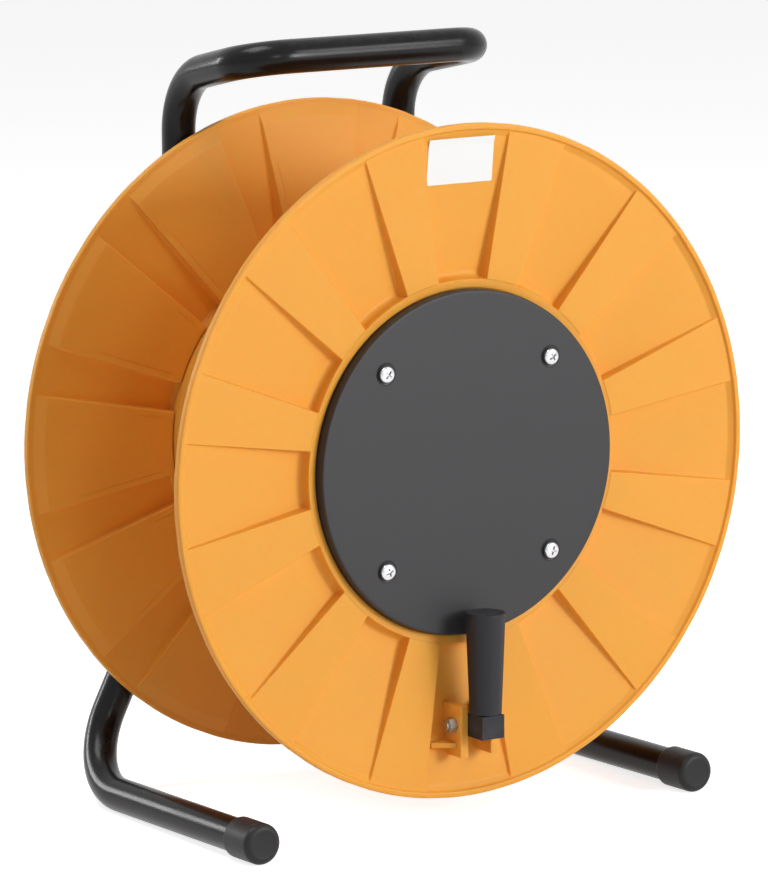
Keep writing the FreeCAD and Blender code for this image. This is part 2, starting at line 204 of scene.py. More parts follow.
def joined(name: str, parts: Sequence[bpy.types.Object]) -> bpy.types.Object:
    """One object from several, with their modifiers applied first."""
    work = bmesh.new()
    graph = bpy.context.evaluated_depsgraph_get()
    for part in parts:
        held = part.evaluated_get(graph).to_mesh()
        work.from_mesh(held)
        part.evaluated_get(graph).to_mesh_clear()
    mesh = bpy.data.meshes.new(name)
    work.to_mesh(mesh)
    work.free()
    for part in parts:
        bpy.data.objects.remove(part)
    piece = bpy.data.objects.new(name, mesh)
    bpy.context.scene.collection.objects.link(piece)
    return piece


def cut_away(piece: bpy.types.Object, cutters: Sequence[bpy.types.Object]) -> None:
    """Take the cutters out of a piece and remove them."""
    for cutter in cutters:
        saw = piece.modifiers.new("cut", "BOOLEAN")
        saw.operation = "DIFFERENCE"
        saw.solver = "EXACT"
        saw.object = cutter
    graph = bpy.context.evaluated_depsgraph_get()
    result = bpy.data.meshes.new_from_object(piece.evaluated_get(graph))
    piece.modifiers.clear()
    piece.data = result
    for cutter in cutters:
        bpy.data.objects.remove(cutter)


def between(value: float, points: Sequence[Point2]) -> float:
    """Read a broken line, given as (position, height) points in rising order."""
    if value <= points[0][0]:
        return points[0][1]
    for (x0, y0), (x1, y1) in zip(points, points[1:]):
        if value <= x1:
            return y0 + (y1 - y0) * (value - x0) / (x1 - x0)
    return points[-1][1]


def eased(value: float, points: Sequence[Point2], radius: float, samples: int = 9) -> float:
    """Read a broken line with its corners rounded over the given half width."""
    return sum(between(value + radius * (2 * i / (samples - 1) - 1), points)
               for i in range(samples)) / samples


# --- shader effects ------------------------------------------------------------------------


class Sheet:
    """A node tree that is being written, with short ways to add and join nodes."""

    def __init__(self, tree: bpy.types.NodeTree) -> None:
        """Keep the tree to write in."""
        self.tree = tree

    def node(self, kind: str, inputs: Optional[dict] = None, **settings) -> bpy.types.Node:
        """Add a node.

        Args:
            kind: Blender's name of the node type.
            inputs: values or sockets by input name or number.
            settings: the node's own properties.

        Returns:
            The node.
        """
        made = self.tree.nodes.new(kind)
        for name, value in settings.items():
            setattr(made, name, value)
        for key, value in (inputs or {}).items():
            if isinstance(value, bpy.types.NodeSocket):
                self.tree.links.new(value, made.inputs[key])
            else:
                made.inputs[key].default_value = value
        return made

    def maths(self, operation: str, first, second=0.0, clamp: bool = False) -> bpy.types.NodeSocket:
        """A Math node's result."""
        return self.node("ShaderNodeMath", {0: first, 1: second}, operation=operation,
                         use_clamp=clamp).outputs[0]

    def blend(self, share, first, second) -> bpy.types.NodeSocket:
        """A colour mix by a share."""
        mix = self.node("ShaderNodeMix", data_type="RGBA")
        for index, value in ((0, share), (6, first), (7, second)):
            if isinstance(value, bpy.types.NodeSocket):
                self.tree.links.new(value, mix.inputs[index])
            else:
                mix.inputs[index].default_value = value if index == 0 else (*value, 1.0)[:4]
        return mix.outputs[2]


def effect(name: str, inputs: Sequence[tuple[str, str, object]], outputs: Sequence[tuple[str, str]],
           write: Callable[[Sheet, dict, bpy.types.Node], None]) -> bpy.types.NodeTree:
    """Build a shader node group once.

    Args:
        name: the group's name.
        inputs: name, socket type and default of each input.
        outputs: name and socket type of each output.
        write: fills the group from its sheet, input sockets and output node.

    Returns:
        The group.
    """
    if name in bpy.data.node_groups:
        return bpy.data.node_groups[name]
    tree = bpy.data.node_groups.new(name, "ShaderNodeTree")
    for label, kind, default in inputs:
        socket = tree.interface.new_socket(label, in_out="INPUT", socket_type=kind)
        if default is not None:
            socket.default_value = default
    for label, kind in outputs:
        tree.interface.new_socket(label, in_out="OUTPUT", socket_type=kind)
    sheet = Sheet(tree)
    entry = sheet.node("NodeGroupInput")
    leave = sheet.node("NodeGroupOutput")
    write(sheet, {s.name: s for s in entry.outputs}, leave)
    return tree


def write_mottle(sheet: Sheet, given: dict, leave: bpy.types.Node) -> None:
    """Cloudy lightening and darkening of a moulded or painted colour, and of its gloss."""
    place = sheet.node("ShaderNodeTexCoord").outputs["Object"]
    clouds = sheet.node("ShaderNodeTexNoise", {"Vector": place, "Scale": given["Scale"], "Detail": 4.0,
                                               "Roughness": 0.55})
    swing = sheet.maths("SUBTRACT", clouds.outputs[0], 0.5)
    value = sheet.maths("ADD", sheet.maths("MULTIPLY", swing, given["Amount"]), 1.0)
    toned = sheet.node("ShaderNodeHueSaturation", {"Color": given["Color"], "Value": value})
    sheet.tree.links.new(toned.outputs[0], leave.inputs["Color"])
    gloss = sheet.maths("ADD", given["Roughness"],
                        sheet.maths("MULTIPLY", swing, given["Gloss Swing"]), clamp=True)
    sheet.tree.links.new(gloss, leave.inputs["Roughness"])


def write_grain(sheet: Sheet, given: dict, leave: bpy.types.Node) -> None:
    """Fine moulding grain with a slow waviness under it, as a height."""
    place = sheet.node("ShaderNodeTexCoord").outputs["Object"]
    fine = sheet.node("ShaderNodeTexNoise", {"Vector": place, "Scale": given["Scale"], "Detail": 3.0})
    cells = sheet.node("ShaderNodeTexVoronoi", {"Vector": place, "Scale": given["Scale"]},
                       feature="SMOOTH_F1")
    slow = sheet.node("ShaderNodeTexNoise", {"Vector": place, "Scale": given["Wave Scale"],
                                             "Detail": 1.0})
    height = sheet.maths("ADD", fine.outputs[0], sheet.maths("MULTIPLY", cells.outputs[0], 0.6))
    height = sheet.maths("MULTIPLY", height, given["Grain"])
    height = sheet.maths("ADD", height, sheet.maths("MULTIPLY", slow.outputs[0], given["Wave"]))
    sheet.tree.links.new(height, leave.inputs["Height"])


def write_wear(sheet: Sheet, given: dict, leave: bpy.types.Node) -> None:
    """Rubbed, lighter convex edges, broken up by noise."""
    place = sheet.node("ShaderNodeTexCoord").outputs["Object"]
    edge = sheet.node("ShaderNodeNewGeometry").outputs["Pointiness"]
    ridge = sheet.node("ShaderNodeMapRange", {0: edge, 1: 0.52, 2: 0.62}).outputs[0]
    patchy = sheet.node("ShaderNodeTexNoise", {"Vector": place, "Scale": 140.0, "Detail": 5.0})
    broken = sheet.node("ShaderNodeMapRange", {0: patchy.outputs[0], 1: 0.38, 2: 0.62}).outputs[0]
    mask = sheet.maths("MULTIPLY", sheet.maths("MULTIPLY", ridge, broken), given["Amount"], clamp=True)
    sheet.tree.links.new(sheet.blend(mask, given["Color"], given["Worn Color"]), leave.inputs["Color"])
    sheet.tree.links.new(mask, leave.inputs["Mask"])


def write_dust(sheet: Sheet, given: dict, leave: bpy.types.Node) -> None:
    """Thin pale dust that settles on what faces up."""
    place = sheet.node("ShaderNodeTexCoord").outputs["Object"]
    normal = sheet.node("ShaderNodeNewGeometry").outputs["Normal"]
    up = sheet.node("ShaderNodeSeparateXYZ", {0: normal}).outputs[2]
    lying = sheet.node("ShaderNodeMapRange", {0: up, 1: 0.35, 2: 1.0}).outputs[0]
    specks = sheet.node("ShaderNodeTexNoise", {"Vector": place, "Scale": 260.0, "Detail": 6.0})
    patch = sheet.node("ShaderNodeMapRange", {0: specks.outputs[0], 1: 0.45, 2: 0.75}).outputs[0]
    mask = sheet.maths("MULTIPLY", sheet.maths("MULTIPLY", lying, patch), given["Amount"], clamp=True)
    sheet.tree.links.new(sheet.blend(mask, given["Color"], given["Dust Color"]), leave.inputs["Color"])


def mottle() -> bpy.types.NodeTree:
    """The group for cloudy colour and gloss."""
    return effect("reel_mottle",
                  [("Color", "NodeSocketColor", None), ("Roughness", "NodeSocketFloat", 0.5),
                   ("Scale", "NodeSocketFloat", 8.0), ("Amount", "NodeSocketFloat", 0.06),
                   ("Gloss Swing", "NodeSocketFloat", 0.1)],
                  [("Color", "NodeSocketColor"), ("Roughness", "NodeSocketFloat")], write_mottle)


def grain() -> bpy.types.NodeTree:
    """The group for surface height."""
    return effect("reel_grain",
                  [("Scale", "NodeSocketFloat", 2500.0), ("Grain", "NodeSocketFloat", 0.5),
                   ("Wave Scale", "NodeSocketFloat", 20.0), ("Wave", "NodeSocketFloat", 0.2)],
                  [("Height", "NodeSocketFloat")], write_grain)


def wear() -> bpy.types.NodeTree:
    """The group for rubbed edges."""
    return effect("reel_wear",
                  [("Color", "NodeSocketColor", None), ("Worn Color", "NodeSocketColor", None),
                   ("Amount", "NodeSocketFloat", 0.5)],
                  [("Color", "NodeSocketColor"), ("Mask", "NodeSocketFloat")], write_wear)


def dust() -> bpy.types.NodeTree:
    """The group for settled dust."""
    return effect("reel_dust",
                  [("Color", "NodeSocketColor", None), ("Dust Color", "NodeSocketColor", None),
                   ("Amount", "NodeSocketFloat", 0.1)],
                  [("Color", "NodeSocketColor")], write_dust)


# --- finishes ------------------------------------------------------------------------------


@dataclass(frozen=True)
class Finish:
    """A surface finish: its colours, gloss, grain and age.

    Colours are linear. Scales are per metre, and depth is the grain's height in metres.
    """

    name: str
    colour: Colour
    worn: Colour
    roughness: float
    metallic: float = 0.0
    specular: float = 0.5
    coat: float = 0.0
    coat_roughness: float = 0.1
    mottle_scale: float = 9.0
    mottle_amount: float = 0.06
    gloss_swing: float = 0.1
    grain_scale: float = 2200.0
    grain_share: float = 0.5
    wave_scale: float = 18.0
    wave_share: float = 0.3
    depth: float = 0.00004
    wear_amount: float = 0.3
    dust_amount: float = 0.05
    glow_share: float = 0.0
    glow_depth: float = 0.004
    glow_tint: Colour = (1.0, 0.22, 0.05)
    dust_colour: Colour = (0.55, 0.52, 0.48)

    def material(self) -> bpy.types.Material:
        """The material, made the first time it is asked for."""
        if self.name in bpy.data.materials:
            return bpy.data.materials[self.name]
        made = bpy.data.materials.new(self.name)
        made.use_nodes = True
        made.node_tree.nodes.clear()
        sheet = Sheet(made.node_tree)
        toned = sheet.node("ShaderNodeGroup", node_tree=mottle(), label="mottle")
        for key, value in (("Color", (*self.colour, 1.0)), ("Roughness", self.roughness),
                           ("Scale", self.mottle_scale), ("Amount", self.mottle_amount),
                           ("Gloss Swing", self.gloss_swing)):
            toned.inputs[key].default_value = value
        rubbed = sheet.node("ShaderNodeGroup", node_tree=wear(), label="wear")
        rubbed.inputs["Worn Color"].default_value = (*self.worn, 1.0)
        rubbed.inputs["Amount"].default_value = self.wear_amount
        sheet.tree.links.new(toned.outputs["Color"], rubbed.inputs["Color"])
        dusty = sheet.node("ShaderNodeGroup", node_tree=dust(), label="dust")
        dusty.inputs["Dust Color"].default_value = (*self.dust_colour, 1.0)
        dusty.inputs["Amount"].default_value = self.dust_amount
        sheet.tree.links.new(rubbed.outputs["Color"], dusty.inputs["Color"])
        height = sheet.node("ShaderNodeGroup", node_tree=grain(), label="grain")
        for key, value in (("Scale", self.grain_scale), ("Grain", self.grain_share),
                           ("Wave Scale", self.wave_scale), ("Wave", self.wave_share)):
            height.inputs[key].default_value = value
        bump = sheet.node("ShaderNodeBump", {"Height": height.outputs["Height"], "Strength": 1.0,
                                             "Distance": self.depth})
        surface = sheet.node("ShaderNodeBsdfPrincipled", {
            "Base Color": dusty.outputs["Color"], "Roughness": toned.outputs["Roughness"],
            "Metallic": self.metallic, "Specular IOR Level": self.specular,
            "Coat Weight": self.coat, "Coat Roughness": self.coat_roughness,
            "Subsurface Weight": self.glow_share, "Subsurface Radius": self.glow_tint,
            "Subsurface Scale": self.glow_depth,
            "Normal": bump.outputs["Normal"]})
        out = sheet.node("ShaderNodeOutputMaterial", {"Surface": surface.outputs["BSDF"]})
        out.is_active_output = True
        return made


ORANGE = Finish("moulded_orange", (0.86, 0.395, 0.052), (0.93, 0.47, 0.10), roughness=0.46,
                specular=0.26, mottle_scale=11.0, mottle_amount=0.07, gloss_swing=0.16,
                grain_scale=3000.0, grain_share=0.35, wave_scale=26.0, wave_share=0.8,
                depth=0.00006, wear_amount=0.35, dust_amount=0.04, glow_share=0.45)
COVER_GREY = Finish("cover_grey", (0.026, 0.0245, 0.027), (0.07, 0.07, 0.075), roughness=0.46,
                    specular=0.36, mottle_scale=14.0, mottle_amount=0.10, gloss_swing=0.12,
                    grain_scale=1800.0, grain_share=0.9, wave_share=0.2, depth=0.00005,
                    wear_amount=0.45, dust_amount=0.05)
CRANK_GREY = Finish("crank_grey", (0.020, 0.021, 0.025), (0.06, 0.06, 0.066), roughness=0.50,
                    specular=0.24, mottle_scale=30.0, mottle_amount=0.12, gloss_swing=0.12,
                    grain_scale=2600.0, grain_share=0.9, wave_share=0.2, depth=0.00004,
                    wear_amount=0.45, dust_amount=0.06)
BLACK_COAT = Finish("black_powder_coat", (0.0050, 0.0045, 0.0050), (0.05, 0.05, 0.05),
                    roughness=0.24, specular=0.20, mottle_scale=30.0, mottle_amount=0.2,
                    gloss_swing=0.14, grain_scale=900.0, grain_share=0.8, wave_scale=60.0,
                    wave_share=0.6, depth=0.00005, wear_amount=0.25, dust_amount=0.03)
CAP_BLACK = Finish("cap_black", (0.016, 0.0155, 0.017), (0.05, 0.05, 0.052), roughness=0.46,
                   specular=0.25, mottle_scale=40.0, mottle_amount=0.15, grain_scale=2400.0,
                   grain_share=0.9, wave_share=0.2, wear_amount=0.4, dust_amount=0.06)
ZINC = Finish("bright_zinc", (0.60, 0.60, 0.62), (0.92, 0.92, 0.93), roughness=0.26, metallic=1.0,
              mottle_scale=120.0, mottle_amount=0.12, gloss_swing=0.2, grain_scale=1500.0,
              depth=0.00002, wear_amount=0.5, dust_amount=0.0)
STEEL = Finish("turned_steel", (0.36, 0.35, 0.34), (0.8, 0.8, 0.8), roughness=0.33, metallic=1.0,
               mottle_scale=60.0, mottle_amount=0.15, gloss_swing=0.2, grain_scale=900.0,
               depth=0.00002, wear_amount=0.4, dust_amount=0.05)
FILM = Finish("label_film", (0.64, 0.63, 0.635), (0.72, 0.71, 0.715), roughness=0.50,
              specular=0.25, mottle_scale=35.0, mottle_amount=0.03, gloss_swing=0.1,
              grain_scale=1400.0, grain_share=0.4, wave_scale=70.0, wave_share=0.8,
              depth=0.00003, wear_amount=0.1, dust_amount=0.02)


def dress(piece: bpy.types.Object, finish: Finish,
          body: Optional[str] = None, stands_for: Sequence[str] = ()) -> None:
    """Give a piece its finish and body, and hide the CAD nodes it stands for.

    Args:
        piece: a new piece, or a CAD node's object.
        finish: the surface.
        body: the CAD body it rides on, for a new piece.
        stands_for: CAD nodes that it replaces.
    """
    piece.data.materials.clear()
    piece.data.materials.append(finish.material())
    if body:
        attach(piece, body)
    if stands_for:
        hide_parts(*stands_for)
    LOG.info("%s: %s on %s", piece.name, finish.name, body or "its own body")


def dress_node(name: str, finish: Finish, edge: float = 0.0) -> None:
    """Keep a CAD node, with broken edges and a finish."""
    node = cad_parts[name]
    dress(node, finish)
    if edge:
        break_edges(node, edge)


# --- drum ------------------------------------------------------------------------------------

IN_GROOVE = 2.0     # marks a column that lies in the groove along a pad's edge


@dataclass
class FlangeMoulding:
    """A corrugated flange: twelve pockets between twelve spokes, a rim bead and a hub web.

    Radii and depths are millimetres about the drum axis; depth is measured inwards from the
    rim plane.
    """

    facing: Facing
    node: str
    spokes: int = 12
    rim_r: float = 190.0
    field_r: float = 186.5
    lip_r: float = 178.5
    hub_r: float = 102.8
    foot_r: float = 106.0
    cover_r: float = 97.2
    well_r: float = 100.2
    bore_r: float = 15.1
    web: float = 7.8
    web_back: float = 10.8
    rim_t: float = 4.5
    pocket_half_deg: float = 9.0
    pad_half_deg: float = 10.5
    draft: float = 0.05
    brow: float = 0.55
    fillet: float = 1.0
    groove_reach: tuple[float, float] = (156.0, 122.0)
    groove_from: float = 108.0
    groove_depth: float = 0.4

    def outer_spoke(self) -> list[Point2]:
        """Outer face along a spoke: (radius, depth)."""
        return [(self.bore_r, self.web), (self.cover_r + 0.3, self.web),
                (self.cover_r + 0.7, 6.3), (self.hub_r - 0.15, 5.8),
                (self.hub_r + 0.15, 5.4), (self.field_r - 0.1, 1.75), (self.field_r + 0.25, 0.0),
                (self.rim_r, 0.0)]

    def outer_pocket(self) -> list[Point2]:
        """Outer face along a pocket: (radius, depth)."""
        return [(self.bore_r, self.web), (self.cover_r + 0.3, self.web),
                (self.cover_r + 0.7, 6.3), (self.hub_r - 0.15, 5.8),
                (self.hub_r + 0.1, 6.0), (self.hub_r + 0.3, 9.3), (self.hub_r + 0.9, 10.9),
                (self.hub_r + 1.9, 12.0), (self.foot_r + 0.4, 12.45),
                (self.lip_r, 4.0), (self.field_r - 3.2, 3.7), (self.field_r - 0.4, 1.9),
                (self.field_r - 0.1, 1.75), (self.field_r + 0.25, 0.0), (self.rim_r, 0.0)]

    def inner_spoke(self) -> list[Point2]:
        """Winding side along a spoke."""
        return [(self.bore_r, self.web_back), (self.well_r - 0.2, self.web_back),
                (self.well_r + 0.2, 8.0), (self.field_r, 4.35), (self.rim_r, self.rim_t)]

    def inner_pad(self) -> list[Point2]:
        """Winding side along the back of a pocket."""
        return [(self.bore_r, self.web_back), (self.well_r - 0.2, self.web_back),
                (self.well_r + 0.2, 15.1), (self.lip_r + 1.3, 6.6), (self.field_r, 4.5),
                (self.rim_r, self.rim_t)]

    def columns(self, radius: float, half_deg: float, height: float, convex: bool
                ) -> list[tuple[float, float]]:
        """Columns of one pocket pitch at a radius.

        Args:
            radius: where the columns are.
            half_deg: half the pocket's width.
            height: from the spoke down to the pocket's floor.
            convex: the pocket's floor stands out, as on the winding side.

        Returns:
            (angle in degrees, share of the height) from one spoke's middle to the next.
        """
        shrink = min(1.0, radius / 100.0) / radius
        tall = max(abs(height), 1e-6)
        top = min(self.brow, 0.45 * tall)
        low = min(self.fillet, 0.45 * tall)
        if convex:
            top, low = low, top
        top_w, low_w = (self.fillet, self.brow) if convex else (self.brow, self.fillet)
        lean = self.draft * tall
        wall = []
        for a in (0, 30, 60, 90):
            wall.append((top_w * (1 - math.sin(math.radians(a))),
                         top * (1 - math.cos(math.radians(a))) / tall))
        for a in (0, 30, 60, 90):
            wall.append((-0.08 - lean - low_w * (1 - math.cos(math.radians(a))),
                         1 - low * (1 - math.sin(math.radians(a))) / tall))
        half = [(0.0, 1.0), (2.2, 1.0), (4.4, 1.0)]
        edge = math.degrees(shrink)
        half += [(half_deg + edge * s, share) for s, share in
                 ((-5.0, 1.0), (-4.6, IN_GROOVE), (-4.0, IN_GROOVE), (-3.6, 1.0))]
        half += [(half_deg + edge * s, share) for s, share in reversed(wall)]
        half += [(12.2, 0.0), (13.6, 0.0)]
        left = [(-a, share) for a, share in reversed(half[1:])]
        return [(-15.0, 0.0)] + left + half

    def ring(self, radius: float, spoke: Sequence[Point2], pocket: Sequence[Point2],
             half_deg: float, convex: bool, soften: float) -> list[tuple[float, float, float]]:
        """One ring of points as (radius, angle in degrees, depth)."""
        base = eased(radius, spoke, soften)
        floor = eased(radius, pocket, soften)
        points = []
        for k in range(self.spokes):
            for angle, share in self.columns(radius, half_deg, floor - base, convex):
                depth = base + (floor - base) * min(share, 1.0)
                reach = self.groove_reach[0 if angle < 0 else 1]
                if share == IN_GROOVE and convex and self.groove_from < radius < reach:
                    depth -= self.groove_depth
                points.append((radius, angle + k * 360.0 / self.spokes, depth))
        return points

    def rings(self) -> list[list[tuple[float, float, float]]]:
        """All the rings, from the bore over the outer face and the rim to the winding side."""
        outer = [15.1, 20, 40, 70, 92, 96.8, 97.3, 97.6, 97.9, 98.4, 101, 102.3, 102.6, 102.85,
                 103.05, 103.3, 103.7, 104.3, 105.0, 105.8, 106.4, 107.2, 109, 114, 122, 132, 142, 150, 158,
                 166, 172, 176, 178.5, 181.5, 182.6, 183.1, 183.6, 184.5, 185.4, 185.9, 186.2, 186.5,
                 186.8, 187.1]
        found = [self.ring(r, self.outer_spoke(), self.outer_pocket(), self.pocket_half_deg, False,
                           0.3) for r in outer]
        bead = arc((188.9, 1.1), 1.1, -90, 0, 4) + arc((189.2, 3.7), 0.8, 0, 90, 4)
        plain = self.columns(self.rim_r, self.pad_half_deg, 0.0, True)
        for r, depth in [(187.9, 0.0)] + bead + [(188.2, self.rim_t)]:
            found.append([(r, a + k * 360.0 / self.spokes, depth)
                          for k in range(self.spokes) for a, _ in plain])
        inner = [187.2, 186.6, 186.0, 184, 181.5, 180.4, 179.8, 179.2, 178, 174, 168, 162, 160.2,
                 159.6, 154, 146, 136, 126, 116, 110, 108.2, 107.8, 104, 102, 101, 100.6, 100.3,
                 100.1, 99.8, 99.2, 96, 80, 50, 15.1]
        found += [self.ring(r, self.inner_spoke(), self.inner_pad(), self.pad_half_deg, True,
                            0.4) for r in inner]
        return found

    def build(self) -> bpy.types.Object:
        """The whole moulding as one closed mesh."""
        lo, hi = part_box("flange_rear")
        height = (lo.z + hi.z) / 2
        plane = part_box("cover_plate")[0].y if self.facing is Facing.FRONT else hi.y
        way = -self.facing.value
        verts = []
        rings = self.rings()
        for ring in rings:
            for radius, angle, depth in ring:
                a = math.radians(angle)
                verts.append(Vector((radius * MM * math.sin(a), plane + way * depth * MM,
                                     height + radius * MM * math.cos(a))))
        name = "flange_moulding_" + self.facing.name.lower()
        piece = mesh_piece(name, verts, bands(len(rings), len(rings[0]), closed=True))
        even_normals(piece)
        return piece

    def make(self) -> None:
        """Build and dress the flange."""
        dress(self.build(), ORANGE, "drum", [self.node])


@dataclass
class CrankBracket:
    """The two ears and the gusset that grow from the lowest pocket of the front flange."""

    inner_x: float = 0.0077
    outer_x: float = 0.0129
    top_z: float = 0.0705
    foot_z: float = 0.0410
    front_y: float = -0.0922
    root_y: tuple[float, float] = (-0.0740, -0.0762)
    gusset_z: tuple[float, float] = (0.0460, 0.0490)
    gusset_x: float = -0.0246
    gusset_wall_y: float = -0.0801
    gusset_front_y: float = -0.0883
    edge: float = 0.0005

    def ear(self, side: Side) -> bpy.types.Object:
        """One ear, from its inner to its outer face."""
        x = self.inner_x * side.value
        width = (self.outer_x - self.inner_x) * side.value
        outline = [Vector((x, self.front_y, self.top_z)), Vector((x, self.root_y[0], self.top_z)),
                   Vector((x, self.root_y[1], self.foot_z)), Vector((x, self.front_y, self.foot_z))]
        piece = prism("ear", outline, Vector((width, 0, 0)))
        break_edges(piece, self.edge)
        return piece

    def gusset(self) -> bpy.types.Object:
        """The rib from the left ear down to the pocket's wall."""
        low, high = self.gusset_z
        outline = [Vector((-self.outer_x + 0.0006, self.gusset_front_y, low)),
                   Vector((-self.outer_x + 0.0006, self.root_y[1], low)),
                   Vector((self.gusset_x, self.root_y[1], low)),
                   Vector((self.gusset_x, self.gusset_wall_y, low))]
        piece = prism("gusset", outline, Vector((0, 0, high - low)))
        break_edges(piece, self.edge * 0.8)
        return piece

    def make(self) -> None:
        """Build and dress the bracket."""
        parts = [self.ear(Side.LEFT), self.ear(Side.RIGHT), self.gusset()]
        dress(joined("crank_bracket", parts), ORANGE, "drum")


@dataclass
class Barrel:
    """The winding barrel between the flanges."""

    wall: float = 0.0028

    def make(self) -> None:
        """Build and dress the barrel."""
        lo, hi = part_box("barrel")
        outer = (hi.x - lo.x) / 2
        inner = outer - self.wall
        length = hi.y - lo.y
        rim = 0.0004
        outline = [(inner, rim), (inner + rim, 0.0), (outer - rim, 0.0), (outer, rim),
                   (outer, length - rim), (outer - rim, length), (inner + rim, length),
                   (inner, length - rim)]
        piece = turned("winding_barrel", outline, Vector((0, lo.y, (lo.z + hi.z) / 2)),
                       Vector((0, 1, 0)), around=180, closed=True)
        dress(piece, ORANGE, "drum", ["barrel"])


@dataclass
class HubCover:
    """The dark plate over the hub, with a shallow seat under each of its four screws."""

    edge: float = 0.0010
    wall: float = 0.0030
    screw_offset: float = 0.0553
    seat_r: float = 0.0062
    seat_depth: float = 0.00045

    def plate(self) -> bpy.types.Object:
        """The plate with a rounded edge, hollow behind."""
        lo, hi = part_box("cover_plate")
        outer, deep = (hi.x - lo.x) / 2, hi.y - lo.y
        front = arc((outer - self.edge, self.edge), self.edge, -90, 0, 6)
        inside = outer - self.wall
        outline = [(outer - 2.2 * self.edge, 0.0)] + front + [
            (outer, deep - 0.0003), (outer - 0.0003, deep), (inside + 0.0003, deep),
            (inside, deep - 0.0003), (inside, self.wall), (0.0004, self.wall)]
        return turned("hub_cover", outline, Vector((0, lo.y, (lo.z + hi.z) / 2)),
                      Vector((0, 1, 0)), around=192)

    def seat(self, x: float, z: float) -> bpy.types.Object:
        """The cutter of one screw seat."""
        lo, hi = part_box("cover_plate")
        deep = self.seat_depth
        outline = [(self.seat_r + 0.0006, -0.001), (self.seat_r + 0.0004, -0.0001),
                   (self.seat_r, deep * 0.6), (self.seat_r - 0.0004, deep)]
        centre = Vector((x, lo.y, (lo.z + hi.z) / 2 + z))
        return turned("seat", outline, centre, Vector((0, 1, 0)), around=48)

    def make(self) -> None:
        """Build and dress the cover."""
        piece = self.plate()
        piece.modifiers.clear()
        places = [(x, z) for x in (-1, 1) for z in (-1, 1)]
        seats = [self.seat(self.screw_offset * x, self.screw_offset * z) for x, z in places]
        for cutter in seats:
            cutter.modifiers.clear()
        cut_away(piece, seats)
        for face in piece.data.polygons:
            face.use_smooth = abs(face.normal.y) < 0.9999
        piece.data.set_sharp_from_angle(angle=math.radians(32))
        dress(piece, COVER_GREY, "drum", ["cover_plate"])


@dataclass
class CoverScrew:
    """A pan-head screw with a cross recess."""

    number: int
    turn_deg: float
    head_r: float = 0.0048
    head_h: float = 0.0030
    shank_r: float = 0.0020
    arm: float = 0.0028
    arm_half: float = 0.00062
    recess: float = 0.0017

    def cross(self, centre: Vector) -> bpy.types.Object:
        """The cutter of the cross recess, narrower at its foot."""
        a, w = self.arm, self.arm_half
        corners = [(a, -w), (a, w), (w, w), (w, a), (-w, a), (-w, w), (-a, w), (-a, -w),
                   (-w, -w), (-w, -a), (w, -a), (w, -w)]
        turn = math.radians(self.turn_deg)
        verts = []
        for depth, share in ((-0.0006, 1.08), (self.recess, 0.55)):
            for x, z in corners:
                x, z = (x * math.cos(turn) - z * math.sin(turn),
                        x * math.sin(turn) + z * math.cos(turn))
                verts.append(centre + Vector((x * share, depth, z * share)))
        return mesh_piece("cross", verts, bands(2, len(corners), capped=True))

    def make(self) -> None:
        """Build and dress the screw."""
        lo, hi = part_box(f"cover_screw_{self.number}")
        centre = Vector(((lo.x + hi.x) / 2, lo.y, (lo.z + hi.z) / 2))
        dome = [(0.0003, 0.0), (0.0016, 0.00006), (0.0028, 0.00026)]
        dome += arc((self.head_r - 0.0018, 0.0021), 0.0018, -78, 0, 7)
        outline = dome + [(self.head_r, self.head_h - 0.0002), (self.head_r - 0.0002, self.head_h),
                          (self.shank_r, self.head_h), (self.shank_r, self.head_h + 0.008)]
        piece = turned(f"pan_screw_{self.number}", outline, centre, Vector((0, 1, 0)), around=48)
        piece.modifiers.clear()
        cut_away(piece, [self.cross(centre)])
        for face in piece.data.polygons:
            face.use_smooth = True
        piece.data.set_sharp_from_angle(angle=math.radians(35))
        dress(piece, ZINC, "drum", [f"cover_screw_{self.number}"])


# --- crank -----------------------------------------------------------------------------------


@dataclass
class CrankGrip:
    """The tapered grip that turns on the crank's spindle."""

    foot_r: float = 0.0090
    end_r: float = 0.01126
    edge: float = 0.0009
    bore_r: float = 0.00408
    bore_depth: float = 0.0410

    def make(self) -> None:
        """Build and dress the grip."""
        lo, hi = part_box("crank_grip")
        base = Vector(((lo.x + hi.x) / 2, (lo.y + hi.y) / 2, lo.z))
        tall = hi.z - lo.z
        e = self.edge
        shoulder = [(r, tall - e + h) for r, h in arc((self.end_r - e, 0.0), e, 0, 90, 6)]
        outline = [(self.bore_r, self.bore_depth), (self.bore_r, 0.0003), (self.bore_r + 0.0003, 0.0),
                   (self.foot_r - 0.0005, 0.0), (self.foot_r - 0.00015, 0.00015),
                   (self.foot_r, 0.0005)]
        outline += [(self.foot_r + (self.end_r - self.foot_r) * i / 8, tall * i / 8)
                    for i in range(1, 8)]
        outline += shoulder + [(self.end_r * 0.6, tall - 0.0002), (0.0004, tall - 0.0003)]
        piece = turned("grip_sleeve", outline, base, Vector((0, 0, 1)), around=96)
        dress(piece, CRANK_GREY, "grip", ["crank_grip"])


@dataclass
class Crank:
    """The block with its knuckle and spindle, and the bolt and nut that it folds on."""

    block_edge: float = 0.0006
    metal_edge: float = 0.00025

    def make(self) -> None:
        """Dress the CAD nodes of the crank and build its grip."""
        dress_node("crank_block", CRANK_GREY, self.block_edge)
        dress_node("crank_bolt", STEEL, self.metal_edge)
        dress_node("crank_nut", STEEL, self.metal_edge)
        CrankGrip().make()


# --- stand -----------------------------------------------------------------------------------


